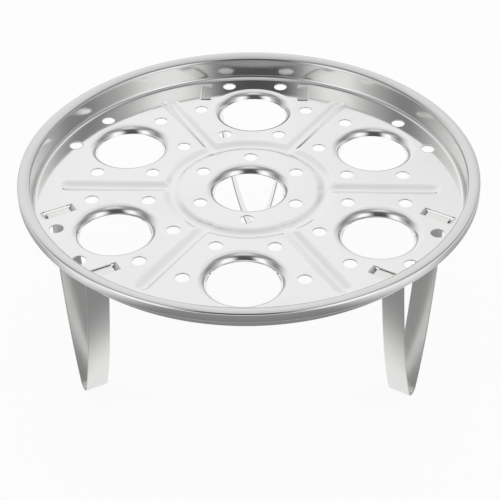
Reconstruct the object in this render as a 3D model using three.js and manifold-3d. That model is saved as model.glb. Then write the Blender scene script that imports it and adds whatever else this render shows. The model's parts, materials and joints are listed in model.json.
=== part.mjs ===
// Steamer rack: a pressed round plate with a rolled rim, standing on three sprung strip legs.
// Millimetres, +Z up, the origin on the surface it stands on, below the middle of the plate.

import * as THREE from "three";
import { mergeVertices } from "three/addons/utils/BufferGeometryUtils.js";
import Module from "manifold-3d";

const wasm = await Module();
wasm.setup();

// Sheet and overall sizes.
const plateSheet = 0.6; // thickness of the plate's sheet
const rackRadius = 130; // outermost edge of the rolled rim
const standHeight = 107.3; // top of the plate above the surface it stands on

// Rim: a wall rises from the plate, runs outwards in a low crown and turns down over a shoulder.
const rimHeight = 14.9; // crest of the roll above the plate
const rollWidth = 7.2; // from the top of the wall to the outermost edge
const rollDrop = 6.6; // from the crest down to the underside of the roll
const crownRadius = 7.2; // roundness of the top of the roll
const crownTurn = 10; // degrees that the crown runs on past its crest
const shoulderRadius = 1.3; // tight outer bend of the roll
const hemRadius = 1.5; // turn of the raw edge under the roll
const wallFlare = 0.3; // how far the wall leans out over its height
const footFillet = 3.0; // fillet between plate and wall

// Steam ports: one in the middle and six round it, drawn down to a wide rounded lip.
const portCount = 6;
const portPitchRadius = 83.5;
const portRadius = 19.6; // clear radius of a port, at the foot of its lip
const lipRadius = 6.0; // rounding from the plate down into a port
const portDepth = 4.3; // from the top of the plate to the foot of the lip

// Vents: plain punched holes round every port.
const ventRadius = 3.9;
const middleVentRing = 31.0; // ring of vents round the middle port
const outerVentRing = 32.2; // ring of vents round each outer port

// Stiffening grooves pressed down into the plate: one ring and six spokes.
const grooveWidth = 10;
const grooveDepth = 1.5;
const ringGrooveRadius = 44.2;
const spokeEndRadius = 109.7;

// Legs: one springy strip each, bent to a U whose ends turn outwards into two loops of the plate.
const legCount = 3;
const legRadius = 104.4; // middle of the strip, from the middle of the plate
const stripWidth = 13.4;
const stripSheet = 0.8;
const armSpread = 23.2; // half the distance between the arms under the plate
const armLean = 6.5; // degrees from upright at the top
const noseLean = 20; // degrees from upright where an arm runs into the nose
const noseRadius = 4;
const bendRadius = 1.6; // bend between arm and end tab
const armTopPull = 50; // how far each arm keeps its lean at the top
const armNosePull = 25; // how far each arm keeps its lean at the nose

// Loops: straps lanced out of the plate, which hold the end tabs of the legs.
const loopShoulder = 4.1; // from an arm to the near edge of its loop
const loopWidth = 6.5; // across the strap
const loopEndRun = 2.5; // sloped end of the strap
const tabTipGap = 0.6; // from the tip of an end tab to the far edge of its loop
const clearance = 0.3; // between an end tab and the sheet above, below and beside it
const shearGap = 0.15; // each side of a strap

// Facets of the round forms.
const rimSteps = 60;
const ringSteps = 48;
const portSteps = 24;
const spokeEndSteps = 16;
const ventSteps = 10;
const grooveSteps = 4;
const lipSteps = 4;
const filletSteps = 4;
const crownSteps = 4;
const shoulderSteps = 3;
const hemSteps = 2;
const bendSteps = 4;
const armSteps = 8;
const noseSteps = 5;

const cutMargin = 1; // how far a cut runs past the faces that it opens
const mergeTolerance = 1e-4;

const plateTop = standHeight;
const loopDrop = plateSheet + clearance + stripSheet + clearance;
const loopLength = stripWidth + 2 * (clearance + loopEndRun);
const loopMiddle = armSpread + loopShoulder + loopWidth / 2;

// Points on an arc round a centre, from one angle to another, in degrees.
function arcPoints(x, y, radius, fromAngle, toAngle, steps) {
  const points = [];
  for (let i = 0; i <= steps; i += 1) {
    const angle = THREE.MathUtils.degToRad(fromAngle + ((toAngle - fromAngle) * i) / steps);
    points.push(new THREE.Vector2(x + radius * Math.cos(angle), y + radius * Math.sin(angle)));
  }
  return points;
}

// The line beside a line of points, at a distance to its right.
function offsetLine(points, distance) {
  return points.map((point, i) => {
    const from = Math.min(i, points.length - 2);
    const to = Math.max(i, 1);
    const leaving = points[from + 1].clone().sub(points[from]).normalize();
    const arriving = points[to].clone().sub(points[to - 1]).normalize();
    const along = arriving.clone().add(leaving).normalize();
    const reach = distance / along.dot(leaving);
    return new THREE.Vector2(point.x + along.y * reach, point.y - along.x * reach);
  });
}

// A closed three.js geometry as a solid for joining and cutting.
function toSolid(geometry) {
  const bare = geometry.clone();
  bare.deleteAttribute("normal");
  bare.deleteAttribute("uv");
  const merged = mergeVertices(bare, mergeTolerance);
  const corners = merged.index.array;
  const triVerts = [];
  for (let i = 0; i < corners.length; i += 3) {
    const [a, b, c] = corners.slice(i, i + 3);
    if (a !== b && b !== c && c !== a) {
      triVerts.push(a, b, c);
    }
  }
  const vertProperties = new Float32Array(merged.attributes.position.array);
  return new wasm.Manifold(
    new wasm.Mesh({ numProp: 3, vertProperties, triVerts: new Uint32Array(triVerts) })
  );
}

// A solid as a three.js geometry with flat facets.
function toGeometry(solid) {
  const mesh = solid.getMesh();
  const geometry = new THREE.BufferGeometry();
  geometry.setAttribute("position", new THREE.BufferAttribute(mesh.vertProperties, 3));
  geometry.setIndex(new THREE.BufferAttribute(mesh.triVerts, 1));
  geometry.computeVertexNormals();
  return geometry;
}

// A profile of radius and height turned round the Z axis.
function turned(profile, steps) {
  return new THREE.LatheGeometry(profile, steps).rotateX(Math.PI / 2);
}

// An outline across X and Z, drawn out along Y, half each way.
function drawnOut(outline, length) {
  const shape = new THREE.Shape(outline);
  const geometry = new THREE.ExtrudeGeometry(shape, { depth: length, bevelEnabled: false });
  return geometry.rotateX(Math.PI / 2).translate(0, length / 2, 0);
}

// The cross-section of a pressed groove about its middle line: the hollow, and the metal round it.
const grooveHalf = grooveWidth / 2;
const grooveRadius = (grooveHalf ** 2 + grooveDepth ** 2) / (2 * grooveDepth);
const grooveCentre = grooveRadius - grooveDepth;
const sheetMiddle = -plateSheet / 2;

function grooveArc(radius, level, fromMiddle) {
  const halfAngle = THREE.MathUtils.radToDeg(Math.acos((grooveCentre - level) / radius));
  const start = fromMiddle ? 270 : 270 - halfAngle;
  const steps = fromMiddle ? grooveSteps / 2 : grooveSteps;
  return arcPoints(0, grooveCentre, radius, start, 270 + halfAngle, steps);
}

function closedAbove(arc, level) {
  const first = arc[0];
  const last = arc[arc.length - 1];
  return [...arc, new THREE.Vector2(last.x, level), new THREE.Vector2(first.x, level)];
}

const grooveHollow = closedAbove(grooveArc(grooveRadius, 0, false), cutMargin);
const grooveMetal = grooveArc(grooveRadius + plateSheet, sheetMiddle, false);
const dishHollow = closedAbove(grooveArc(grooveRadius, 0, true), cutMargin);
const dishMetal = closedAbove(grooveArc(grooveRadius + plateSheet, sheetMiddle, true), sheetMiddle);

function ringGroove() {
  const outwards = (point) => new THREE.Vector2(point.x + ringGrooveRadius, point.y);
  const closed = (outline) => [...outline, outline[0]].map(outwards);
  return {
    metal: toSolid(turned(closed(grooveMetal), ringSteps)),
    hollow: toSolid(turned(closed(grooveHollow), ringSteps)),
  };
}

// A spoke runs from the ring groove to a rounded end, along an azimuth in degrees.
function spokeGroove(azimuth) {
  const endRadius = spokeEndRadius - grooveHalf;
  const length = endRadius - ringGrooveRadius;
  const middle = (endRadius + ringGrooveRadius) / 2;
  const spoke = (section, dish) => {
    const channel = toSolid(drawnOut(section, length).translate(0, middle, 0));
    const end = toSolid(turned(dish, spokeEndSteps).translate(0, endRadius, 0));
    return channel.add(end).rotate([0, 0, azimuth - 90]);
  };
  return { metal: spoke(grooveMetal, dishMetal), hollow: spoke(grooveHollow, dishHollow) };
}

// A port's lip and the hollow through it. A port deeper than its rounding ends in a straight collar.
function port(x, y) {
  const arcFoot = Math.max(lipRadius - portDepth, 0);
  const lipEdge = portRadius + Math.sqrt(lipRadius ** 2 - arcFoot ** 2);
  const lipArc = (radius) => {
    const footAngle = THREE.MathUtils.radToDeg(Math.asin(arcFoot / radius));
    return arcPoints(lipEdge, -lipRadius, radius, 180 - footAngle, 90, lipSteps);
  };
  const underArc = lipArc(lipRadius - plateSheet);
  const metal = [
    new THREE.Vector2(0, -portDepth),
    new THREE.Vector2(underArc[0].x, -portDepth),
    ...underArc,
    new THREE.Vector2(lipEdge, sheetMiddle),
    new THREE.Vector2(0, sheetMiddle),
  ];
  const hollow = [
    new THREE.Vector2(0, -portDepth - cutMargin),
    new THREE.Vector2(portRadius, -portDepth - cutMargin),
    ...lipArc(lipRadius),
    new THREE.Vector2(lipEdge, cutMargin),
    new THREE.Vector2(0, cutMargin),
  ];
  return {
    metal: toSolid(turned(metal, portSteps).translate(x, y, 0)),
    hollow: toSolid(turned(hollow, portSteps).translate(x, y, 0)),
  };
}

// A strap pressed down between two sheared slits, beside the leg at an azimuth.
function loop(azimuth, side) {
  const half = loopLength / 2;
  const floorHalf = half - loopEndRun;
  const topLine = [
    new THREE.Vector2(-half - loopEndRun, 0),
    new THREE.Vector2(-half, 0),
    new THREE.Vector2(-floorHalf, -loopDrop),
    new THREE.Vector2(floorHalf, -loopDrop),
    new THREE.Vector2(half, 0),
    new THREE.Vector2(half + loopEndRun, 0),
  ];
  const underLine = offsetLine(topLine, plateSheet).slice(1, -1);
  const metal = [
    new THREE.Vector2(underLine[0].x, sheetMiddle),
    ...underLine,
    new THREE.Vector2(underLine[underLine.length - 1].x, sheetMiddle),
  ];
  const hollow = closedAbove(topLine.slice(1, -1), cutMargin);
  const placed = (outline, width) =>
    toSolid(drawnOut(outline, width).rotateZ(Math.PI / 2).translate(side * loopMiddle, legRadius, 0))
      .rotate([0, 0, azimuth - 90]);
  return { metal: placed(metal, loopWidth), hollow: placed(hollow, loopWidth + 2 * shearGap) };
}

function vent(x, y) {
  const height = 2 * (plateSheet + cutMargin);
  const punch = new THREE.CylinderGeometry(ventRadius, ventRadius, height, ventSteps);
  return toSolid(punch.rotateX(Math.PI / 2).translate(x, y, 0));
}

// The disc with its wall and rolled rim, as one turned sheet.
function rimProfile() {
  const turn = THREE.MathUtils.degToRad(crownTurn);
  const crownOffset = crownRadius - shoulderRadius;
  const shoulderX = rackRadius - shoulderRadius;
  const crownX = shoulderX - crownOffset * Math.sin(turn);
  const crownY = rimHeight - crownRadius;
  const shoulderY = crownY + crownOffset * Math.cos(turn);
  const wallTopRadius = rackRadius - rollWidth;
  const crownStart = Math.acos(Math.max((wallTopRadius - crownX) / crownRadius, -1));
  const crownStartAngle = THREE.MathUtils.radToDeg(crownStart);
  const wallTop = crownY + crownRadius * Math.sin(crownStart);
  const wallFootRadius = wallTopRadius - wallFlare;
  const wallAngle = THREE.MathUtils.radToDeg(Math.atan2(wallTop, wallFlare));
  const filletStart = wallFootRadius - footFillet * Math.tan(THREE.MathUtils.degToRad(wallAngle / 2));
  const hemCentre = new THREE.Vector2(rackRadius - hemRadius, rimHeight - rollDrop + hemRadius);
  const topLine = [
    new THREE.Vector2(0, 0),
    ...arcPoints(filletStart, footFillet, footFillet, 270, 270 + wallAngle, filletSteps),
    ...arcPoints(crownX, crownY, crownRadius, crownStartAngle, 90 - crownTurn, crownSteps),
    ...arcPoints(shoulderX, shoulderY, shoulderRadius, 90 - crownTurn, 0, shoulderSteps).slice(1),
    ...arcPoints(hemCentre.x, hemCentre.y, hemRadius, 0, -120, hemSteps),
  ];
  const underLine = offsetLine(topLine, plateSheet);
  underLine[0].x = 0;
  return [...underLine, ...topLine.reverse()];
}

function pressedPlate() {
  const stepAngle = 360 / portCount;
  const features = [ringGroove(), port(0, 0)];
  const vents = [];
  for (let i = 0; i < portCount; i += 1) {
    const azimuth = stepAngle * (i + 0.5);
    const angle = THREE.MathUtils.degToRad(azimuth);
    const portX = portPitchRadius * Math.cos(angle);
    const portY = portPitchRadius * Math.sin(angle);
    features.push(spokeGroove(stepAngle * i), port(portX, portY));
    vents.push(vent(middleVentRing * Math.cos(angle), middleVentRing * Math.sin(angle)));
    for (let k = 0; k < portCount; k += 1) {
      const ventAngle = angle + THREE.MathUtils.degToRad(stepAngle * (k + 0.5));
      const ventX = portX + outerVentRing * Math.cos(ventAngle);
      const ventY = portY + outerVentRing * Math.sin(ventAngle);
      vents.push(vent(ventX, ventY));
    }
  }
  for (let i = 0; i < legCount; i += 1) {
    features.push(loop(legAzimuth(i), -1), loop(legAzimuth(i), 1));
  }
  let plate = toSolid(turned(rimProfile(), rimSteps));
  for (const feature of features) {
    plate = plate.add(feature.metal);
  }
  for (const feature of features) {
    plate = plate.subtract(feature.hollow);
  }
  for (const hole of vents) {
    plate = plate.subtract(hole);
  }
  return toGeometry(plate);
}

function legAzimuth(i) {
  return 90 + (360 / legCount) * i;
}

// A leg strip, seen along its width: tab, bend and arm on one side, the nose, and the same mirrored.
function legStrip() {
  const lean = THREE.MathUtils.degToRad(armLean);
  const noseAngle = THREE.MathUtils.degToRad(noseLean);
  const noseFacet = (180 - 2 * noseLean) / noseSteps;
  const noseHeight = (noseRadius + stripSheet / 2) * Math.cos(THREE.MathUtils.degToRad(noseFacet / 2));
  const tabHeight = plateTop - plateSheet - clearance - stripSheet / 2;
  const tabTip = loopMiddle + loopWidth / 2 - tabTipGap;
  const bendCentre = new THREE.Vector2(armSpread + bendRadius * Math.cos(lean), tabHeight - bendRadius);
  const bend = arcPoints(bendCentre.x, bendCentre.y, bendRadius, 90, 180 - armLean, bendSteps);
  const nose = arcPoints(0, noseHeight, noseRadius, -noseLean, noseLean - 180, noseSteps);
  const armStart = bend[bend.length - 1];
  const armEnd = nose[0];
  const topPull = new THREE.Vector2(-Math.sin(lean), -Math.cos(lean)).multiplyScalar(armTopPull);
  const nosePull = new THREE.Vector2(Math.sin(noseAngle), Math.cos(noseAngle)).multiplyScalar(armNosePull);
  const arm = new THREE.CubicBezierCurve(
    armStart,
    topPull.add(armStart),
    nosePull.add(armEnd),
    armEnd
  );
  const tip = new THREE.Vector2(tabTip, tabHeight);
  const side = [tip, ...bend, ...arm.getPoints(armSteps).slice(1, -1)];
  const otherSide = side.map((point) => new THREE.Vector2(-point.x, point.y)).reverse();
  const middleLine = [...side, ...nose, ...otherSide];
  const outline = [
    ...offsetLine(middleLine, stripSheet / 2),
    ...offsetLine(middleLine, -stripSheet / 2).reverse(),
  ];
  return drawnOut(outline, stripWidth);
}

const rack = new THREE.Group();

const plateSteel = new THREE.MeshStandardMaterial({ color: 0xe2e2df, metalness: 1, roughness: 0.22 });
const plate = new THREE.Mesh(pressedPlate(), plateSteel);
plate.name = "rack_plate";
plate.position.z = plateTop;
rack.add(plate);

const legNames = ["leg_back", "leg_left", "leg_right"];
legNames.forEach((name, i) => {
  const turn = new THREE.Group();
  turn.rotation.z = THREE.MathUtils.degToRad(legAzimuth(i) - 90);
  const legSteel = new THREE.MeshStandardMaterial({ color: 0xbdbdba, metalness: 1, roughness: 0.34 });
  const leg = new THREE.Mesh(legStrip(), legSteel);
  leg.name = name;
  leg.position.y = legRadius;
  turn.add(leg);
  rack.add(turn);
});

export default rack;
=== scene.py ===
import json
import math
import bmesh
import bpy
import numpy as np
from mathutils import Matrix, Vector
from mathutils.geometry import delaunay_2d_cdt
from mathutils.kdtree import KDTree


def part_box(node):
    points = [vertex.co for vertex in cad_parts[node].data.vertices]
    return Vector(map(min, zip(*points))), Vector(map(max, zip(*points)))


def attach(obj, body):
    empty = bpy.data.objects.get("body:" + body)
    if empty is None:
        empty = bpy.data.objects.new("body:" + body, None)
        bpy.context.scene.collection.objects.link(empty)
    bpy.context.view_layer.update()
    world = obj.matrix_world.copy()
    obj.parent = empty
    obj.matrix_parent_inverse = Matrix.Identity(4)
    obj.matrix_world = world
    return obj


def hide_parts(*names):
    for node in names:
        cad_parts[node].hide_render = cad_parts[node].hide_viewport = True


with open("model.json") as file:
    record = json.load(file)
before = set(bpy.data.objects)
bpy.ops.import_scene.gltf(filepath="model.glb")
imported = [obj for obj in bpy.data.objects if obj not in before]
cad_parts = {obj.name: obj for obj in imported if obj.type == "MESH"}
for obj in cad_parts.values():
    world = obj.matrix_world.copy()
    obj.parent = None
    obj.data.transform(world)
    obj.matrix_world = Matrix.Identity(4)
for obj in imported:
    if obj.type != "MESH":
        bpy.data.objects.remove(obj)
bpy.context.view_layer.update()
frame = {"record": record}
scene = bpy.context.scene
mm = 0.001
millilitre = 1e-6

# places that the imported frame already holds
mounts = {mount["name"]: mount["pos_m"] for mount in frame["record"]["mounts"]}
plateTop = mounts["plate_face"][2]
legRadius = mounts["foot_back"][1]
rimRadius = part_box("rack_plate")[1].x
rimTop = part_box("rack_plate")[1].z - plateTop
print("frame loaded: plate top at", round(plateTop, 4), "rim radius", round(rimRadius, 4))


class Wire:
    # a socket in a node tree; sums on it add Math nodes

    def __init__(self, tree, socket=None):
        self.tree = tree
        self.socket = socket

    def plug(self, target, value):
        if isinstance(value, Wire):
            self.tree.links.new(value.socket, target)
        elif isinstance(value, list):
            for one in value:
                self.tree.links.new(one.socket, target)
        else:
            target.default_value = value

    def add(self, kind, settings=None, values=None, out=0):
        node = self.tree.nodes.new(kind)
        for name, value in (settings or {}).items():
            if name == "stops":
                ramp = node.color_ramp.elements
                while len(ramp) < len(value):
                    ramp.new(0.5)
                for element, (place, colour) in zip(ramp, value):
                    element.position = place
                    element.color = colour
            else:
                setattr(node, name, value)
        for name, value in (values or {}).items():
            self.plug(node.inputs[name], value)
        return Wire(self.tree, node.outputs[out]) if len(node.outputs) else None

    def of(self, name):  # another output of the same node
        return Wire(self.tree, self.socket.node.outputs[name])

    def sums(self, operation, *terms):
        return self.add("ShaderNodeMath", {"operation": operation}, dict(enumerate(terms)))

    def fade(self, limits):  # 0 before the first limit and 1 past the second, with soft ends
        values = {"Value": self, "From Min": limits[0], "From Max": limits[1]}
        return self.add("ShaderNodeMapRange", {"interpolation_type": "SMOOTHSTEP"}, values)

    def blend(self, first, second):  # a colour between two, with this as the share of the second
        values = {"Factor": self, 6: first, 7: second}
        return self.add("ShaderNodeMix", {"data_type": "RGBA"}, values, 2)

    def __add__(self, other):
        return self.sums("ADD", self, other)

    def __radd__(self, other):
        return self.sums("ADD", other, self)

    def __sub__(self, other):
        return self.sums("SUBTRACT", self, other)

    def __rsub__(self, other):
        return self.sums("SUBTRACT", other, self)

    def __mul__(self, other):
        return self.sums("MULTIPLY", self, other)

    def __rmul__(self, other):
        return self.sums("MULTIPLY", other, self)

    def __truediv__(self, other):
        return self.sums("DIVIDE", self, other)

    def __rtruediv__(self, other):
        return self.sums("DIVIDE", other, self)


def emptied(owner):  # the cleared node tree of a material or a world, ready to wire up
    owner.use_nodes = True
    owner.node_tree.nodes.clear()
    return Wire(owner.node_tree)


# finishes

plateFinish = {
    "tone": (0.83, 0.83, 0.825),
    "smudgeTone": (0.80, 0.80, 0.795),
    "polish": 0.08,          # roughness of the bright rolled face
    "smudge": 0.05,          # how much duller a handled patch is
    "cutPolish": 0.38,       # roughness of a sheared edge
    # painted shade: sheared edges, vent walls and strap ends take this darker tone, so that they show
    # as dark lines
    "shearShadeTone": (0.56, 0.56, 0.555),
    "dullPolish": 0.15,      # roughness where the rim's painted shade is at half strength; on the roll, where it is full, the metal is smooth again
    # painted shade: the rolled rim's crown takes this darker tone, and the wall a share of it
    "rimShadeTone": (0.69, 0.69, 0.685),
    "grain": 0.004 * mm,     # height of the rolling grain
    "grainScale": (60, 2600, 2600),  # how close the grain lies along each axis, per metre
    "ripple": 0.06 * mm,     # height of the slow waves left by the press
}

legFinish = {
    "tone": (0.79, 0.79, 0.78),
    "smudgeTone": (0.75, 0.75, 0.74),
    "polish": 0.2,
    "smudge": 0.07,
    "cutPolish": 0.4,
    # painted shade: the strip's slit edges take this darker tone, so that they show as dark lines
    "shearShadeTone": (0.42, 0.42, 0.415),
    "dullPolish": 0.2,
    "rimShadeTone": (0.79, 0.79, 0.78),
    "grain": 0.006 * mm,
    "grainScale": (2400, 2400, 40),
    "ripple": 0.03 * mm,
}

marks = {                    # scale, detail and roughness of the noise behind each mark
    "grain": (1.0, 4.0, 0.6),
    "ripple": (17.0, 1.0, 0.5),
    "handled": (28.0, 5.0, 0.62),
    "handledFade": (0.45, 0.75),
    "grainPolish": 0.05,     # how far the grain sways the roughness
}


def steel(name, finish):
    material = bpy.data.materials.new(name)
    wire = emptied(material)
    place = wire.add("ShaderNodeTexCoord", out="Object")
    stretched = wire.add("ShaderNodeMapping", {}, {"Vector": place, "Scale": finish["grainScale"]})

    def noise(where, mark):
        scale, detail, roughness = marks[mark]
        values = {"Vector": where, "Scale": scale, "Detail": detail, "Roughness": roughness}
        return wire.add("ShaderNodeTexNoise", {}, values)

    grain = noise(stretched, "grain")
    ripple = noise(place, "ripple")
    handled = noise(place, "handled").fade(marks["handledFade"])
    # painted shade: the shear mark darkens sheared edges, vent walls and strap ends, besides roughening
    # them
    cut = wire.add("ShaderNodeAttribute", {"attribute_name": "cut"}, {}, "Fac")
    worn = wire.add("ShaderNodeAttribute", {"attribute_name": "worn"}, {}, "Fac")
    halfShade = worn * (1 - worn) * 4  # 1 where the rim's painted shade is at half strength; the metal there is rougher
    polish = finish["polish"] + handled * finish["smudge"] + (grain - 0.5) * marks["grainPolish"]
    polish = polish + halfShade * (finish["dullPolish"] - finish["polish"])
    duller = polish + cut * (finish["cutPolish"] - polish)
    tone = handled.blend((*finish["tone"], 1), (*finish["smudgeTone"], 1))
    tone = worn.blend(tone, (*finish["rimShadeTone"], 1))
    tone = cut.blend(tone, (*finish["shearShadeTone"], 1))
    waves = {"Strength": 1.0, "Distance": finish["ripple"], "Height": ripple}
    slow = wire.add("ShaderNodeBump", {}, waves)
    lines = {"Strength": 1.0, "Distance": finish["grain"], "Height": grain, "Normal": slow}
    fine = wire.add("ShaderNodeBump", {}, lines)
    look = {"Base Color": tone, "Metallic": 1.0, "Roughness": duller, "Normal": fine}
    shader = wire.add("ShaderNodeBsdfPrincipled", {}, look)
    wire.add("ShaderNodeOutputMaterial", {}, {"Surface": shader})
    return material


plateSteel = steel("brightRolledSteel", plateFinish)
legSteel = steel("satinStripSteel", legFinish)
print("finishes made")


# helpers for outlines and node trees


def arc(x, y, radius, start, end, steps):
    turns = np.radians(np.linspace(start, end, steps + 1))
    return [(x + radius * math.cos(turn), y + radius * math.sin(turn)) for turn in turns]


def bent(start, corner, end, steps):  # a soft bend from start to end, drawn towards a corner
    start, corner, end = np.array(start), np.array(corner), np.array(end)
    shares = np.linspace(0, 1, steps + 1)
    return [tuple((1 - s) ** 2 * start + 2 * s * (1 - s) * corner + s ** 2 * end) for s in shares]


def beside(line, distance):  # the line at a distance to the right of a line of points
    points = np.array(line)
    ways = np.diff(points, axis=0)
    ways /= np.linalg.norm(ways, axis=1)[:, None]
    leaving = np.vstack((ways, ways[-1:]))
    arriving = np.vstack((ways[:1], ways))
    along = leaving + arriving
    along /= np.linalg.norm(along, axis=1)[:, None]
    reach = distance / np.sum(along * leaving, axis=1)
    rightwards = np.column_stack((along[:, 1], -along[:, 0]))
    return [tuple(point) for point in points + rightwards * reach[:, None]]


def outlineObject(name, points, mark=None, values=None, closed=False):
    count = len(points)
    edges = [(i, (i + 1) % count) for i in range(count if closed else count - 1)]
    mesh = bpy.data.meshes.new(name)
    mesh.from_pydata([(*point, 0)[:3] for point in points], edges, [])
    if mark:
        markPoints(mesh, mark, values)
    return helperObject(name, mesh)


def markPoints(mesh, mark, values):
    mesh.attributes.new(mark, "FLOAT", "POINT").data.foreach_set("value", values)


def helperObject(name, mesh):
    helper = bpy.data.objects.new(name, mesh)
    scene.collection.objects.link(helper)
    return helper


def newTree(name, inputs):
    tree = bpy.data.node_groups.new(name, "GeometryNodeTree")
    tree.interface.new_socket("Geometry", in_out="OUTPUT", socket_type="NodeSocketGeometry")
    tree.interface.new_socket("Geometry", in_out="INPUT", socket_type="NodeSocketGeometry")
    for label, value in inputs.items():
        kind = {float: "Float", int: "Int"}.get(type(value), "Object")
        tree.interface.new_socket(label, in_out="INPUT", socket_type="NodeSocket" + kind)
    group = tree.nodes.new("NodeGroupInput")
    return tree, {socket.name: Wire(tree, socket) for socket in group.outputs if socket.name}


def grow(name, mesh, tree, inputs):  # runs a tree on a mesh and keeps the result as a plain mesh
    piece = helperObject(name, mesh)
    modifier = piece.modifiers.new(name, "NODES")
    modifier.node_group = tree
    for socket in tree.interface.items_tree:
        if socket.in_out == "INPUT" and socket.name in inputs:
            modifier[socket.identifier] = inputs[socket.name]
    piece.update_tag()
    graph = bpy.context.evaluated_depsgraph_get()
    grown = bpy.data.meshes.new_from_object(piece.evaluated_get(graph))
    piece.modifiers.remove(modifier)
    piece.data = grown
    for helper in [value for value in inputs.values() if isinstance(value, bpy.types.Object)]:
        bpy.data.objects.remove(helper)
    return piece


def tidyMesh(piece, sharpAngle):
    shell = bmesh.new()
    shell.from_mesh(piece.data)
    bmesh.ops.recalc_face_normals(shell, faces=shell.faces)
    openEdges = sum(1 for edge in shell.edges if not edge.is_manifold)
    triangles = sum(len(face.verts) - 2 for face in shell.faces)
    volume = round(shell.calc_volume(signed=True) / millilitre, 2)
    shell.to_mesh(piece.data)
    shell.free()
    piece.data.shade_smooth()
    piece.data.set_sharp_from_angle(angle=math.radians(sharpAngle))
    print(piece.name, triangles, "triangles,", openEdges, "open edges,", volume, "ml")


# the pressed plate: a flat pattern, pressed by rule, with turned rings for every drawn edge

plate = {
    "sheet": 0.6 * mm,
    "portCount": 6,
    "portPitch": 83.5 * mm,
    "portRadius": 19.6 * mm,
    "portDepth": 4.3 * mm,
    "lipRound": 6.0 * mm,
    "lipSteps": 14,
    "underLipSteps": 8,
    "trim": 0.12 * mm,         # broken corners of a trimmed edge
    "ventRadius": 3.9 * mm,
    "ventRound": 0.18 * mm,
    "ventRoundSteps": 3,
    "ventShearShade": [0, 0, 0.2, 1, 1, 0],  # share of the sheared look and its painted shade at each point of a vent's outline
    "middleVentRing": 31.0 * mm,
    "outerVentRing": 32.2 * mm,
    "grooveWidth": 11.4 * mm,  # to the soft outer edges of its section
    "grooveDepth": 1.5 * mm,
    "joinSoft": 4.0 * mm,      # roundness of the corners where a spoke meets the ring
    "ringRadius": 44.2 * mm,
    "spokeEnd": 109.7 * mm,
    "rimSteps": 240,
    "portSteps": 88,
    "ventSteps": 28,
    "seam": 0.002 * mm,        # points closer than this are one
    "sharpAngle": 40,
}

rim = {
    "rollWidth": 7.2 * mm,
    "rollDrop": 6.6 * mm,
    "crownRound": 7.2 * mm,
    "crownTurn": 10,           # degrees that the crown runs on past its crest
    "crownSteps": 12,
    "shoulderRound": 1.3 * mm,
    "shoulderSteps": 10,
    "hemRound": 1.5 * mm,
    "hemTurn": 120,            # degrees that the skirt's lower edge is turned under
    "hemSteps": 8,
    "wallFlare": 0.3 * mm,
    "wallRows": (0.4, 0.6, 0.8),  # shares of the wall's height with a row of points
    "footFillet": 2.3 * mm,
    "filletSteps": 14,
    "brinkReach": 1.1 * mm,    # how far the bend between wall and crown reaches along both
    "brinkSteps": 8,
    "wallShade": 0.4,           # share of the crown's painted shade on the wall, where the metal is also rougher
    "shoulderShade": 0.1,       # and on the shoulder, kept small so that the shoulder stays bright
}

loop = {
    "width": 6.5 * mm,
    "length": 19.0 * mm,
    "endRun": 2.5 * mm,
    "drop": 2.0 * mm,
    "bend": 0.7 * mm,
    "bendSteps": 4,
    "endShade": 0.95,            # share of a sheared edge's rough look and painted shade on the drawn ends of a strap, whose slopes lie in shade
    "slit": 0.15 * mm,
    "middle": 30.55 * mm,      # from the middle of a leg to the middle of a strap
    "hemStrip": 0.3 * mm,      # narrow faces beside a sheared edge
    "legCount": 3,
}

pattern = {                    # where the flat pattern has points
    "border": 0.5 * mm,        # width of the level strip beside every bend
    "borderRows": 12,          # points along a strap's window
    "grooveShares": (0.0, 0.14, 0.28, 0.42, 0.56, 0.7, 0.82, 0.92, 1.0, 1.08, 1.2),  # of half a groove
    "ringSteps": 216,
    "spokeStep": 2.0 * mm,
    "endTurn": 1.5,            # radians to both sides round the end of a spoke
    "endPoints": 15,
    "joinStep": 0.8 * mm,      # spacing where a spoke runs into the ring
    "joinInside": 1.3,         # reach of that close spacing, in halves of a groove's width
    "joinOutside": 2.6,
    "joinAside": 1.9,
    "apart": 0.28 * mm,        # a point nearer than this to an earlier one is left out
    "closeness": 1e-9,         # for the triangulation, metres
}

crownGap = rim["crownRound"] - rim["shoulderRound"]
crownTurn = math.radians(rim["crownTurn"])
shoulderX = rimRadius - rim["shoulderRound"]
crown = (shoulderX - crownGap * math.sin(crownTurn), rimTop - rim["crownRound"])
shoulder = (shoulderX, crown[1] + crownGap * math.cos(crownTurn))
crownStart = math.acos((rimRadius - rim["rollWidth"] - crown[0]) / rim["crownRound"])
wallTop = np.array(arc(*crown, rim["crownRound"], math.degrees(crownStart), 90, 1)[0])
wallFoot = np.array((wallTop[0] - rim["wallFlare"], 0.0))
wallAngle = math.degrees(math.atan2(wallTop[1], rim["wallFlare"]))
webRadius = wallFoot[0] - rim["footFillet"] * math.tan(math.radians(wallAngle / 2))
lipFoot = plate["lipRound"] - plate["portDepth"]
lipEdge = plate["portRadius"] + math.sqrt(plate["lipRound"] ** 2 - lipFoot ** 2)
ventEdge = plate["ventRadius"] + plate["ventRound"]
portStep = 2 * math.pi / plate["portCount"]
grooveHalf = plate["grooveWidth"] / 2
strapHalf = loop["length"] / 2
windowHalf = loop["width"] / 2 + loop["slit"]


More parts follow.
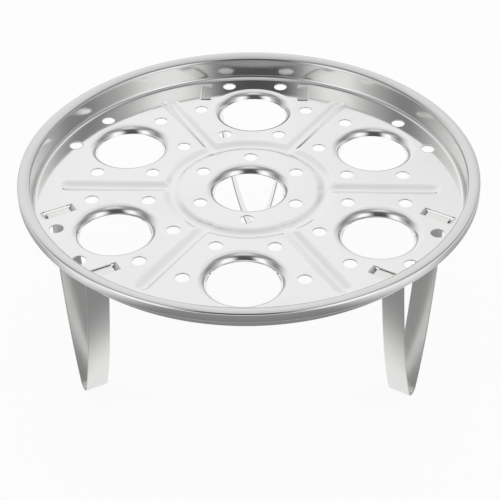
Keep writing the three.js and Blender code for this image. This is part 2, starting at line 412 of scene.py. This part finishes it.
def rimStretches():  # points of each stretch from the web to the hem, and the share of painted shade at its two ends
    fillet = rim["footFillet"]
    hem = (rimRadius - rim["hemRound"], rimTop - rim["rollDrop"] + rim["hemRound"])
    crownEnd = 90 - rim["crownTurn"]
    crownBegin = math.degrees(crownStart - rim["brinkReach"] / rim["crownRound"])
    over = arc(*crown, rim["crownRound"], crownBegin, crownEnd, rim["crownSteps"])
    climb = wallTop - wallFoot
    below = wallTop - climb * rim["brinkReach"] / wallTop[1]
    wall, edge = rim["wallShade"], rim["shoulderShade"]
    return [
        (arc(webRadius, fillet, fillet, 270, 270 + wallAngle, rim["filletSteps"]), 0.0, wall),
        ([tuple(wallFoot + climb * share) for share in rim["wallRows"]], wall, wall),
        (bent(below, wallTop, over[0], rim["brinkSteps"]), wall, 1.0),
        (over[1:], 1.0, 1.0),
        (arc(*shoulder, rim["shoulderRound"], crownEnd, 0, rim["shoulderSteps"])[1:], edge, edge),
        (arc(*hem, rim["hemRound"], 0, -rim["hemTurn"], rim["hemSteps"]), 1.0, 1.0),
    ]


def rimOutline():  # radius and height, from the web over the roll and back underneath
    top = [point for points, first, last in rimStretches() for point in points]
    under = beside(top, plate["sheet"])
    under[0] = (webRadius, -plate["sheet"])
    return top + under[::-1]


# the share of painted shade at every point of the rim's outline, on top and underneath
def rimShadeShares():
    top = []
    for points, first, last in rimStretches():
        top += list(np.linspace(first, last, len(points)))
    return top + top[::-1]


def portOutline():  # from the web round the lip to its trimmed foot, and back up underneath
    lip = plate["lipRound"]
    under = lip - plate["sheet"]
    foot = -plate["portDepth"]
    trim = plate["trim"]
    lipTurn = 180 - math.degrees(math.asin((lipFoot + trim) / lip))
    underTurn = 180 - math.degrees(math.asin((lipFoot + trim) / under))
    inner = plate["portRadius"] + trim
    outer = lipEdge - math.sqrt(under ** 2 - lipFoot ** 2) - trim
    return [
        *arc(lipEdge, -lip, lip, 90, lipTurn, plate["lipSteps"]),
        (inner, foot),
        (outer, foot),
        *arc(lipEdge, -lip, under, underTurn, 90, plate["underLipSteps"]),
    ]


def ventOutline():  # a punched hole: rolled-over edge, then a sheared face
    sheet = plate["sheet"]
    small = plate["ventRound"]
    return [
        *arc(ventEdge, -small, small, 90, 180, plate["ventRoundSteps"]),
        (plate["ventRadius"], -sheet),
        (ventEdge, -sheet),
    ]


def turnedObject(name, outline, radius, mark=None, values=None):  # a profile about its own rail
    return outlineObject(name, [(r - radius, -z) for r, z in outline], mark, values)


def portPlaces():
    places = [(0.0, 0.0)]
    for i in range(plate["portCount"]):
        turn = portStep * (i + 0.5)
        places.append((plate["portPitch"] * math.cos(turn), plate["portPitch"] * math.sin(turn)))
    return places


def ventPlaces():
    places = []
    for i, (x, y) in enumerate(portPlaces()):
        reach = plate["outerVentRing"] if i else plate["middleVentRing"]
        for k in range(plate["portCount"]):
            turn = portStep * (k if i else k + 0.5)
            places.append((x + reach * math.cos(turn), y + reach * math.sin(turn)))
    return places


def strapColumns():
    half = loop["width"] / 2
    return [-half, -half + loop["hemStrip"], half - loop["hemStrip"], half]


def strapLine():  # along the strap and its height, with rounded bends
    flat = strapHalf - loop["endRun"]
    corners = [(-strapHalf, 0), (-flat, -loop["drop"]), (flat, -loop["drop"]), (strapHalf, 0)]
    slope = math.atan2(loop["drop"], loop["endRun"])
    setback = loop["bend"] * math.tan(slope / 2)
    line = [corners[0]]
    for i in (1, 2):
        before, corner, after = (np.array(corners[k]) for k in (i - 1, i, i + 1))
        start = corner + (before - corner) / np.linalg.norm(before - corner) * setback
        end = corner + (after - corner) / np.linalg.norm(after - corner) * setback
        line += bent(start, corner, end, loop["bendSteps"])
    return line + [corners[3]]


def slitCorners():  # the edge of a strap's window, round its slits and along both ends of the strap
    columns = [-windowHalf, *strapColumns(), windowHalf]
    return [(x, -strapHalf) for x in columns] + [(x, strapHalf) for x in columns[::-1]]


def strapObject():
    sheet = plate["sheet"]
    columns = strapColumns()
    line = strapLine()
    points = []
    faces = []

    def point(x, y, z):
        points.append((x, y, z))
        return len(points) - 1

    over = [[point(x, y, z) for x in columns] for y, z in line]
    below = [[point(x, y, z - sheet) for x in columns] for y, z in line]
    for i in range(len(line) - 1):
        for k in range(len(columns) - 1):
            faces.append((over[i][k], over[i][k + 1], over[i + 1][k + 1], over[i + 1][k]))
            faces.append((below[i][k], below[i + 1][k], below[i + 1][k + 1], below[i][k + 1]))
        for k in (0, -1):
            faces.append((over[i][k], over[i + 1][k], below[i + 1][k], below[i][k]))
    for side in (-1, 1):
        ends = [[point(side * windowHalf, end * strapHalf, z) for z in (0, -sheet)] for end in (-1, 1)]
        faces.append((*ends[0], *ends[1][::-1]))
        edge = 0 if side < 0 else -1
        faces.append((*ends[0], below[0][edge], over[0][edge]))
        faces.append((*ends[1], below[-1][edge], over[-1][edge]))
    mesh = bpy.data.meshes.new("strap")
    mesh.from_pydata(points, [], faces)
    inner = loop["width"] / 2 - loop["hemStrip"] / 2
    flat = strapHalf - loop["endRun"]
    # painted shade: the strap's sheared sides get the full darker edge tone and its sloped ends nearly
    # all of it
    cut = [1.0 if abs(x) > inner else loop["endShade"] * (abs(y) > flat) for x, y, z in points]
    markPoints(mesh, "cut", cut)
    return helperObject("strap", mesh)


def strapPlaces():  # middle and turn of every strap
    places = []
    for i in range(loop["legCount"]):
        turn = 2 * math.pi * i / loop["legCount"]
        for side in (-1, 1):
            x = side * loop["middle"] * math.cos(turn) - legRadius * math.sin(turn)
            y = side * loop["middle"] * math.sin(turn) + legRadius * math.cos(turn)
            places.append(((x, y), turn))
    return places


def ringPoints(x, y, radius, steps):
    turns = np.arange(steps) * 2 * math.pi / steps
    return np.column_stack((x + radius * np.cos(turns), y + radius * np.sin(turns)))


def turnedPoints(points, turn, middle=(0.0, 0.0)):
    points = np.array(points)
    spin = np.array(((math.cos(turn), math.sin(turn)), (-math.sin(turn), math.cos(turn))))
    return points @ spin + np.array(middle)


def grooveRows():  # distances from a groove's middle line where its section needs points
    outwards = [grooveHalf * share for share in pattern["grooveShares"]]
    return [-row for row in outwards[:0:-1]] + outwards


def patternEdges():  # the rim of the web and the edge of every hole in it
    edges = [ringPoints(0, 0, webRadius, plate["rimSteps"])]
    edges += [ringPoints(x, y, lipEdge, plate["portSteps"]) for x, y in portPlaces()]
    edges += [ringPoints(x, y, ventEdge, plate["ventSteps"]) for x, y in ventPlaces()]
    edges += [turnedPoints(slitCorners(), turn, middle) for middle, turn in strapPlaces()]
    return edges


def borderPoints():  # level borders keep the shading of the flat face even right up to a bend
    border = pattern["border"]
    fills = [ringPoints(0, 0, webRadius - border, plate["rimSteps"])]
    fills += [ringPoints(x, y, lipEdge + border, plate["portSteps"]) for x, y in portPlaces()]
    fills += [ringPoints(x, y, ventEdge + border, plate["ventSteps"]) for x, y in ventPlaces()]
    outer = windowHalf + border
    columns = [-outer, -windowHalf, *strapColumns(), windowHalf, outer]
    rows = np.linspace(-strapHalf, strapHalf, pattern["borderRows"])
    around = [(x, end * (strapHalf + border)) for end in (-1, 1) for x in columns]
    around += [(side * outer, y) for side in (-1, 1) for y in rows]
    fills += [turnedPoints(around, turn, middle) for middle, turn in strapPlaces()]
    return fills


def groovePoints():  # close points where a spoke runs into the ring, and rows along the grooves
    step = pattern["joinStep"]
    joinStart = plate["ringRadius"] - pattern["joinInside"] * grooveHalf
    joinEnd = plate["ringRadius"] + pattern["joinOutside"] * grooveHalf
    aside = pattern["joinAside"] * grooveHalf
    across = np.arange(-aside, aside, step)
    join = []
    for i, x in enumerate(np.arange(joinStart, joinEnd, step)):
        join += [(x, y + step / 2 * (i % 2)) for y in across]
    end = plate["spokeEnd"] - grooveHalf
    rows = grooveRows()
    spoke = [(x, row) for x in np.arange(joinEnd, end, pattern["spokeStep"]) for row in rows]
    turns = np.linspace(-pattern["endTurn"], pattern["endTurn"], pattern["endPoints"])
    for row in [row for row in rows if row >= 0]:
        spoke += [(end + row * math.cos(turn), row * math.sin(turn)) for turn in turns]
    fills = []
    for i in range(plate["portCount"]):
        fills.append(turnedPoints(join, portStep * i))
        fills.append(turnedPoints(spoke, portStep * i))
    fills += [ringPoints(0, 0, plate["ringRadius"] + row, pattern["ringSteps"]) for row in rows]
    return fills


def insideHole(points, straight=False):  # within a hole's circle, or within its straight-sided outline
    inside = np.zeros(len(points), bool)
    ports = (portPlaces(), lipEdge, plate["portSteps"])
    vents = (ventPlaces(), ventEdge, plate["ventSteps"])
    for places, radius, steps in (ports, vents):
        reach = radius * math.cos(math.pi / steps) if straight else radius
        for x, y in places:
            inside |= np.hypot(points[:, 0] - x, points[:, 1] - y) < reach
    for middle, turn in strapPlaces():
        local = turnedPoints(points - np.array(middle), -turn)
        inside |= (np.abs(local[:, 0]) < windowHalf) & (np.abs(local[:, 1]) < strapHalf)
    return inside


def plateWeb():
    edges = patternEdges()
    points = np.vstack(edges)
    links = []
    start = 0
    for edge in edges:
        count = len(edge)
        links += [(start + i, start + (i + 1) % count) for i in range(count)]
        start += count
    for fill in borderPoints() + groovePoints():
        tree = KDTree(len(points))
        for i, (x, y) in enumerate(points):
            tree.insert((x, y, 0), i)
        tree.balance()
        room = np.array([tree.find((x, y, 0))[2] > pattern["apart"] for x, y in fill])
        room &= np.hypot(fill[:, 0], fill[:, 1]) < webRadius
        room &= ~insideHole(fill)
        points = np.vstack((points, fill[room]))
    flat = [Vector(point) for point in points]
    wholeHull = 0  # the kind of result that fills the convex hull
    found = delaunay_2d_cdt(flat, links, [], wholeHull, pattern["closeness"])
    corners = np.array([tuple(point) for point in found[0]])
    triangles = np.array(found[2])
    middles = corners[triangles].mean(axis=1)
    triangles = triangles[~insideHole(middles, straight=True)]
    mesh = bpy.data.meshes.new("plateWeb")
    mesh.from_pydata([(x, y, 0) for x, y in corners], [], triangles.tolist())
    print("flat pattern:", len(corners), "points,", len(triangles), "triangles")
    return mesh


def plateInputs():
    return {
        "sheet": plate["sheet"],
        "groove width": plate["grooveWidth"],
        "groove depth": plate["grooveDepth"],
        "join softness": plate["joinSoft"],
        "ring radius": plate["ringRadius"],
        "spoke end": plate["spokeEnd"],
        "port count": plate["portCount"],
        "port pitch": plate["portPitch"],
        "port rail": lipEdge,
        "port steps": plate["portSteps"],
        "middle vent ring": plate["middleVentRing"],
        "outer vent ring": plate["outerVentRing"],
        "vent rail": ventEdge,
        "vent steps": plate["ventSteps"],
        "rim rail": rimRadius,
        "rim steps": plate["rimSteps"],
        "leg count": loop["legCount"],
        "leg radius": legRadius,
        "strap middle": loop["middle"],
        "seam": plate["seam"],
        "plate top": plateTop,
        "rim profile": turnedObject("rimProfile", rimOutline(), rimRadius, "worn", rimShadeShares()),
        "port profile": turnedObject("portProfile", portOutline(), lipEdge),
        "vent profile": turnedObject("ventProfile", ventOutline(), ventEdge, "cut", plate["ventShearShade"]),
        "strap": strapObject(),
    }


def plateTree(inputs):
    tree, size = newTree("pressedPlate", inputs)
    wire = size["sheet"]

    # depth of the pressing at a point: the nearer of the ring and the folded spokes
    place = wire.add("GeometryNodeInputPosition")
    split = wire.add("ShaderNodeSeparateXYZ", {}, {"Vector": place})
    x, y = split, split.of("Y")
    reach = wire.sums("SQRT", x * x + y * y)
    turn = wire.sums("ARCTAN2", y, x)
    step = 2 * math.pi / size["port count"]
    folded = turn - wire.sums("ROUND", turn / step) * step
    along = reach * wire.sums("COSINE", folded)
    across = reach * wire.sums("SINE", folded)
    half = size["groove width"] / 2
    past = wire.sums("MAXIMUM", along - (size["spoke end"] - half), 0.0)
    short = wire.sums("MAXIMUM", size["ring radius"] - along, 0.0)
    offSpoke = wire.sums("SQRT", across * across + past * past + short * short)
    offRing = wire.sums("ABSOLUTE", reach - size["ring radius"])
    off = wire.sums("SMOOTH_MIN", offSpoke, offRing, size["join softness"])
    swing = wire.sums("MINIMUM", wire.sums("MAXIMUM", off / half, 0.0), 1.0) * math.pi
    depth = size["groove depth"] * (wire.sums("COSINE", swing) + 1) / 2
    sink = wire.add("ShaderNodeCombineXYZ", {}, {"Z": 0.0 - depth})
    face = wire.add("GeometryNodeSetPosition", {}, {"Geometry": size["Geometry"], "Offset": sink})
    thick = wire.add("ShaderNodeCombineXYZ", {}, {"Z": 0.0 - size["sheet"]})
    back = wire.add("GeometryNodeTransform", {}, {"Geometry": face, "Translation": thick})
    back = wire.add("GeometryNodeFlipFaces", {}, {"Mesh": back})

    def shape(label):
        return wire.add("GeometryNodeObjectInfo", {}, {"Object": size[label]}, "Geometry")

    def turned(label, rail, steps):
        profile = wire.add("GeometryNodeMeshToCurve", {}, {"Mesh": shape(label)})
        circle = wire.add("GeometryNodeCurvePrimitiveCircle", {}, {"Resolution": steps, "Radius": rail})
        return wire.add("GeometryNodeCurveToMesh", {}, {"Curve": circle, "Profile Curve": profile})

    def ringOf(count, radius, rotation, fill="NONE"):
        values = {"Vertices": count, "Radius": radius}
        ring = wire.add("GeometryNodeMeshCircle", {"fill_type": fill}, values)
        spin = wire.add("ShaderNodeCombineXYZ", {}, {"Z": rotation})
        return wire.add("GeometryNodeTransform", {}, {"Geometry": ring, "Rotation": spin})

    def onPoints(points, instance, rotation=None):
        values = {"Points": points, "Instance": instance}
        if rotation is not None:
            values["Rotation"] = rotation
        copies = wire.add("GeometryNodeInstanceOnPoints", {}, values)
        return wire.add("GeometryNodeRealizeInstances", {}, {"Geometry": copies})

    # seven drawn ports, the vents round each of them, and a pair of straps for each leg
    count = size["port count"]
    portRing = turned("port profile", size["port rail"], size["port steps"])
    ports = onPoints(ringOf(count, size["port pitch"], step / 2, "TRIANGLE_FAN"), portRing)
    outerPorts = ringOf(count, size["port pitch"], step / 2)
    outerVents = onPoints(outerPorts, ringOf(count, size["outer vent ring"], 0.0))
    middleVents = ringOf(count, size["middle vent ring"], step / 2)
    ventPoints = wire.add("GeometryNodeJoinGeometry", {}, {"Geometry": [outerVents, middleVents]})
    vents = onPoints(ventPoints, turned("vent profile", size["vent rail"], size["vent steps"]))
    pair = []
    for side in (-1.0, 1.0):
        spot = {"X": size["strap middle"] * side, "Y": size["leg radius"]}
        moved = {"Geometry": shape("strap"), "Translation": wire.add("ShaderNodeCombineXYZ", {}, spot)}
        pair.append(wire.add("GeometryNodeTransform", {}, moved))
    straps = wire.add("GeometryNodeJoinGeometry", {}, {"Geometry": pair})
    legs = wire.add("GeometryNodePoints", {}, {"Count": size["leg count"]})
    index = wire.add("GeometryNodeInputIndex")
    legTurn = wire.add("ShaderNodeCombineXYZ", {}, {"Z": index * (2 * math.pi / size["leg count"])})
    loops = onPoints(legs, straps, legTurn)
    rolled = turned("rim profile", size["rim rail"], size["rim steps"])
    shells = [face, back, rolled, ports, vents, loops]
    whole = wire.add("GeometryNodeJoinGeometry", {}, {"Geometry": shells})
    sewn = wire.add("GeometryNodeMergeByDistance", {}, {"Geometry": whole, "Distance": size["seam"]})
    lift = wire.add("ShaderNodeCombineXYZ", {}, {"Z": size["plate top"]})
    raised = wire.add("GeometryNodeTransform", {}, {"Geometry": sewn, "Translation": lift})
    solid = wire.add("GeometryNodeRealizeInstances", {}, {"Geometry": raised})
    dressed = wire.add("GeometryNodeSetMaterial", {}, {"Geometry": solid, "Material": plateSteel})
    wire.add("NodeGroupOutput", {}, {"Geometry": dressed})
    return tree


inputs = plateInputs()
pressedPlate = grow("pressed_plate", plateWeb(), plateTree(inputs), inputs)
tidyMesh(pressedPlate, plate["sharpAngle"])
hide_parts("rack_plate")
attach(pressedPlate, "plate")
print("plate pressed")


# the legs: one strip section swept along a bent line

leg = {
    "stripWidth": 13.4 * mm,
    "stripSheet": 0.8 * mm,
    "edgeRound": 0.16 * mm,
    "edgeSteps": 4,
    "flatStart": 3,            # edge rounds from the side to the first points on the flat faces
    "armSpread": 23.2 * mm,
    "armLean": 6.5,            # degrees from upright at the top
    "noseLean": 20.0,          # degrees from upright where an arm runs into the nose
    "noseRadius": 4.0 * mm,
    "noseSteps": 24,
    "bendRadius": 1.6 * mm,
    "bendSteps": 8,
    "topPull": 50 * mm,        # how far an arm keeps to its lean at the top
    "nosePull": 25 * mm,       # and at the nose
    "armSteps": 40,
    "tabTip": 33.2 * mm,       # from the middle of the leg to the tip of a tab
    "tabDrop": 1.3 * mm,       # from the top of the plate to the middle of a tab
    "tabRows": (0, 0.05, 0.5, 0.95),  # shares of a tab's length with a row of points
    "sharpAngle": 35,
}


def legLine():
    lean = math.radians(leg["armLean"])
    noseTurn = math.radians(leg["noseLean"])
    tabHeight = plateTop - leg["tabDrop"]
    bendX = leg["armSpread"] + leg["bendRadius"] * math.cos(lean)
    bendHeight = tabHeight - leg["bendRadius"]
    bend = arc(bendX, bendHeight, leg["bendRadius"], 90, 180 - leg["armLean"], leg["bendSteps"])
    noseHeight = leg["noseRadius"] + leg["stripSheet"] / 2
    noseEnd = leg["noseLean"] - 180
    nose = arc(0, noseHeight, leg["noseRadius"], -leg["noseLean"], noseEnd, leg["noseSteps"])
    start, end = np.array(bend[-1]), np.array(nose[0])
    near = start - leg["topPull"] * np.array((math.sin(lean), math.cos(lean)))
    far = end + leg["nosePull"] * np.array((math.sin(noseTurn), math.cos(noseTurn)))
    arm = []
    for s in np.linspace(0, 1, leg["armSteps"] + 1)[1:-1]:
        point = (1 - s) ** 3 * start + 3 * s * (1 - s) ** 2 * near
        point = point + 3 * s ** 2 * (1 - s) * far + s ** 3 * end
        arm.append(tuple(point))
    tabRun = leg["tabTip"] - bendX
    tab = [(leg["tabTip"] - share * tabRun, tabHeight) for share in leg["tabRows"]]
    side = tab + bend + arm
    return side + nose + [(-x, z) for x, z in side[::-1]]


def stripSection():  # a slit strip: flat faces and barely rounded edges
    wide, thin, small = leg["stripWidth"] / 2, leg["stripSheet"] / 2, leg["edgeRound"]
    flat = wide - leg["flatStart"] * small
    points = []
    for x, y, start in ((1, 1, 0), (-1, 1, 90), (-1, -1, 180), (1, -1, 270)):
        middle = (x * (wide - small), y * (thin - small))
        points += arc(*middle, small, start, start + 90, leg["edgeSteps"])
        if start in (0, 180):
            points += [(x * flat, y * thin), (0, y * thin), (-x * flat, y * thin)]
    return points


def stripTree(inputs):
    tree, size = newTree("sprungStrip", inputs)
    wire = size["leg radius"]

    def curve(label):
        found = wire.add("GeometryNodeObjectInfo", {}, {"Object": size[label]}, "Geometry")
        return wire.add("GeometryNodeMeshToCurve", {}, {"Mesh": found})

    swept = wire.add(
        "GeometryNodeCurveToMesh",
        {},
        {"Curve": curve("bent line"), "Profile Curve": curve("strip section"), "Fill Caps": True},
    )
    outwards = wire.add("ShaderNodeCombineXYZ", {}, {"Y": size["leg radius"]})
    placed = wire.add("GeometryNodeTransform", {}, {"Geometry": swept, "Translation": outwards})
    spin = wire.add("ShaderNodeCombineXYZ", {}, {"Z": size["turn"]})
    turned = wire.add("GeometryNodeTransform", {}, {"Geometry": placed, "Rotation": spin})
    solid = wire.add("GeometryNodeRealizeInstances", {}, {"Geometry": turned})
    dressed = wire.add("GeometryNodeSetMaterial", {}, {"Geometry": solid, "Material": legSteel})
    wire.add("NodeGroupOutput", {}, {"Geometry": dressed})
    return tree


section = stripSection()
# painted shade: the strip's slit edges are marked for the darker edge tone
shearShadeStart = leg["stripWidth"] / 2 - leg["edgeRound"] / 2
shearShadeShares = [float(abs(x) > shearShadeStart) for x, y in section]
stripRule = None
for i, side in enumerate(("back", "left", "right")):
    inputs = {
        "leg radius": legRadius,
        "turn": 2 * math.pi * i / loop["legCount"],
        "bent line": outlineObject("bentLine", [(x, 0, z) for x, z in legLine()]),
        "strip section": outlineObject("stripSection", section, "cut", shearShadeShares, closed=True),
    }
    stripRule = stripRule or stripTree(inputs)
    strip = grow("strip_leg_" + side, bpy.data.meshes.new("strip"), stripRule, inputs)
    tidyMesh(strip, leg["sharpAngle"])
    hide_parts("leg_" + side)
    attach(strip, side + "_leg")
print("legs bent")


# studio: a white floor and sky, and a tent of painted reflections, glowing panels brighter and darker,
# that only reflections see

studio = {
    "floorSize": 30.0,
    "floorTone": (0.93, 0.93, 0.93, 1),
    "floorGlow": 0.88,         # share of plain white in what the eye sees of the floor
    "skyLow": 1.0,
    "skyHigh": 0.8,
    "skyRise": (0.6, 1.0),     # heights between which the sky dims, with the zenith at 1
}

shadowCards = {                      # painted shadow: grey cards on the floor that only reflections see, for the shade in front of and beside the rack
    "front": {
        "place": (0.0, -0.25, 0.0002),
        "reach": 0.32,         # half of its side, metres
        "level": 0.29,
        "sides": (0.13, 0.25),  # fades out between these distances from its middle
        "back": (0.15, 0.19),
        "front": (0.06, 0.22),
    },
    "left": {
        "place": (-0.28, 0.06, 0.0004),
        "reach": 0.2,
        "level": 0.48,
        "sides": (0.08, 0.14),
        "back": (0.1, 0.17),
        "front": (0.04, 0.17),
    },
}
shadowCards["right"] = {**shadowCards["left"], "place": (0.28, 0.06, 0.0004)}

tent = {
    "radius": 2.0,
    "segments": 48,
    "roofRise": (40, 58),      # degrees up where the walls run into the roof
    "walls": [                 # degrees round from the camera's side, brightness
        (0, 0.09), (17, 0.11), (26, 0.45), (33, 0.9), (42, 1.15), (57, 1.18), (66, 0.82), (76, 0.56),
        (84, 0.45), (95, 0.3), (108, 0.3), (119, 0.46), (137, 0.75), (155, 0.94), (170, 1.0),
    ],
    "wallFeet": [              # the same near the floor
        (0, 0.09), (17, 0.11), (26, 0.45), (33, 0.9), (42, 1.15), (57, 1.18), (70, 0.95), (84, 0.76),
        (110, 0.7), (124, 0.62), (134, 0.36), (149, 0.36), (157, 0.8), (166, 1.0),
    ],
    "footRise": (11, 20),      # degrees up where the feet of the walls end
    "skew": 14,                # degrees by which the far side of the walls is turned to the right
    "frontSkew": 4,            # and the near side to the left
    "skewEnd": (36, 44),       # degrees up where the walls are turned no more
    "frontRoof": [             # degrees up, brightness
        (50, 0.1), (57, 0.16), (64, 0.5), (69, 0.62), (75, 0.86), (80, 0.82), (86, 0.62),
    ],
    "sideRoof": [(50, 0.46), (60, 0.31), (70, 0.39), (80, 0.54), (90, 0.62)],
    "backRoof": [(50, 0.9), (72, 0.84), (90, 0.62)],
    "frontEnd": (28, 62),      # degrees round where the front roof runs into that of the sides
    "backStart": (112, 142),   # and where that runs into the roof at the back
}


def floorMaterial():
    material = bpy.data.materials.new("whiteFloor")
    wire = emptied(material)
    path = wire.add("ShaderNodeLightPath", out="Is Camera Ray")
    bounced = wire.sums("MAXIMUM", path.of("Is Glossy Ray"), path.of("Is Transmission Ray"))
    seen = wire.sums("MAXIMUM", path, bounced)
    paint = wire.add("ShaderNodeBsdfDiffuse", {}, {"Color": studio["floorTone"]})
    white = wire.add("ShaderNodeEmission", {}, {"Color": (1, 1, 1, 1), "Strength": 1.0})
    mixed = wire.add("ShaderNodeMixShader", {}, {0: seen * studio["floorGlow"], 1: paint, 2: white})
    wire.add("ShaderNodeOutputMaterial", {}, {"Surface": mixed})
    return material


def tentMaterial():
    material = bpy.data.materials.new("tentReflectionGlow")
    wire = emptied(material)
    place = wire.add("ShaderNodeTexCoord", out="Object")
    split = wire.add("ShaderNodeSeparateXYZ", {}, {"Vector": place})
    bearing = wire.sums("ARCTAN2", split, 0.0 - split.of("Y"))
    around = wire.sums("ABSOLUTE", bearing) / math.pi
    climb = wire.sums("ARCSINE", split.of("Z") / tent["radius"]) / (math.pi / 2)

    def above(limits):  # 0 below the first height and 1 above the second, in degrees
        return climb.fade([angle / 90 for angle in limits])

    def past(limits):  # the same for degrees round from the camera's side
        return around.fade([angle / 180 for angle in limits])

    def shades(stops, full, value):
        ramp = [(angle / full, (level, level, level, 1)) for angle, level in stops]
        return wire.add("ShaderNodeValToRGB", {"stops": ramp}, {"Fac": value})

    nearness = wire.sums("COSINE", bearing)  # 1 on the camera's side and -1 on the far side
    lean = (1.0 - nearness) * (math.radians(tent["skew"]) / 2)
    lean = lean - (1.0 + nearness) * (math.radians(tent["frontSkew"]) / 2)
    lean = lean * (1.0 - above(tent["skewEnd"]))
    turn = wire.sums("ABSOLUTE", bearing - lean) / math.pi
    feet = shades(tent["wallFeet"], 180, around)
    walls = above(tent["footRise"]).blend(feet, shades(tent["walls"], 180, turn))
    front = shades(tent["frontRoof"], 90, climb)
    roof = past(tent["frontEnd"]).blend(front, shades(tent["sideRoof"], 90, climb))
    roof = past(tent["backStart"]).blend(roof, shades(tent["backRoof"], 90, climb))
    panelGlow = above(tent["roofRise"]).blend(walls, roof)
    # painted reflection: the tent's glow, bright panels and dark ones, is seen only in reflections
    glow = wire.add("ShaderNodeEmission", {}, {"Color": panelGlow, "Strength": 1.0})
    wire.add("ShaderNodeOutputMaterial", {}, {"Surface": glow})
    return material


def cardMaterial(card):
    material = bpy.data.materials.new("paintedShadowCard")
    wire = emptied(material)
    place = wire.add("ShaderNodeTexCoord", out="Object")
    split = wire.add("ShaderNodeSeparateXYZ", {}, {"Vector": place})
    aside = wire.sums("ABSOLUTE", split - card["place"][0])
    behind = split.of("Y") - card["place"][1]
    ends = wire.sums("MAXIMUM", behind.fade(card["back"]), (0.0 - behind).fade(card["front"]))
    thinning = wire.sums("MAXIMUM", ends, aside.fade(card["sides"]))
    # painted shadow: the card glows a flat grey that fades out towards its edges
    level = card["level"]
    grey = wire.add("ShaderNodeEmission", {}, {"Color": (level, level, level, 1), "Strength": 1.0})
    clear = wire.add("ShaderNodeBsdfTransparent")
    mixed = wire.add("ShaderNodeMixShader", {}, {0: thinning, 1: grey, 2: clear})
    wire.add("ShaderNodeOutputMaterial", {}, {"Surface": mixed})
    return material


def onlyReflected(thing):
    thing.visible_camera = False
    thing.visible_diffuse = False
    thing.visible_transmission = False
    thing.visible_shadow = False


def stageObject(name, mesh, material):
    mesh.materials.append(material)
    thing = helperObject(name, mesh)
    return thing


def sheetMesh(name, reach, place):
    corners = [(-reach, -reach), (reach, -reach), (reach, reach), (-reach, reach)]
    mesh = bpy.data.meshes.new(name)
    points = [(place[0] + x, place[1] + y, place[2]) for x, y in corners]
    mesh.from_pydata(points, [], [(0, 1, 2, 3)])
    return mesh


def tentMesh():
    mesh = bpy.data.meshes.new("tent")
    shell = bmesh.new()
    rows = tent["segments"] // 2
    bmesh.ops.create_uvsphere(shell, u_segments=2 * rows, v_segments=rows, radius=tent["radius"])
    shell.to_mesh(mesh)
    shell.free()
    return mesh


def sky():
    world = bpy.data.worlds.new("studioSky")
    wire = emptied(world)
    way = wire.add("ShaderNodeTexCoord", out="Generated")
    height = wire.add("ShaderNodeSeparateXYZ", {}, {"Vector": way}, "Z")
    dimming = {
        "Value": height,
        "From Min": studio["skyRise"][0],
        "From Max": studio["skyRise"][1],
        "To Min": studio["skyLow"],
        "To Max": studio["skyHigh"],
    }
    rise = wire.add("ShaderNodeMapRange", {"clamp": True}, dimming)
    light = wire.add("ShaderNodeBackground", {}, {"Color": (1, 1, 1, 1), "Strength": rise})
    wire.add("ShaderNodeOutputWorld", {}, {"Surface": light})
    return world


stageObject("floor", sheetMesh("floor", studio["floorSize"] / 2, (0, 0, 0)), floorMaterial())
onlyReflected(stageObject("tent", tentMesh(), tentMaterial()))
for side, card in shadowCards.items():
    sheet = sheetMesh(side + "Card", card["reach"], card["place"])
    onlyReflected(stageObject(side + "Card", sheet, cardMaterial(card)))
scene.world = sky()
scene.view_settings.view_transform = "Standard"
print("studio set")


# camera at the photograph's angle, fitted to the hole pattern

view = {
    "place": (0.027377, -0.659679, 0.460404),  # from the middle of the plate's top, metres
    "azimuth": 2.3605,
    "elevation": 37.4427,
    "roll": -0.7329,
    "lens": 101.357,
    "sensor": 36.0,
    "clip": 0.01,
}

camera = bpy.data.objects.new("camera", bpy.data.cameras.new("camera"))
camera.data.lens = view["lens"]
camera.data.sensor_width = view["sensor"]
camera.data.sensor_fit = "HORIZONTAL"
camera.data.clip_start = view["clip"]
aim = Matrix.Rotation(math.radians(view["azimuth"]), 4, "Z")
aim @= Matrix.Rotation(math.radians(90 - view["elevation"]), 4, "X")
aim @= Matrix.Rotation(math.radians(view["roll"]), 4, "Z")
camera.matrix_world = Matrix.Translation(Vector(view["place"]) + Vector((0, 0, plateTop))) @ aim
scene.collection.objects.link(camera)
scene.camera = camera
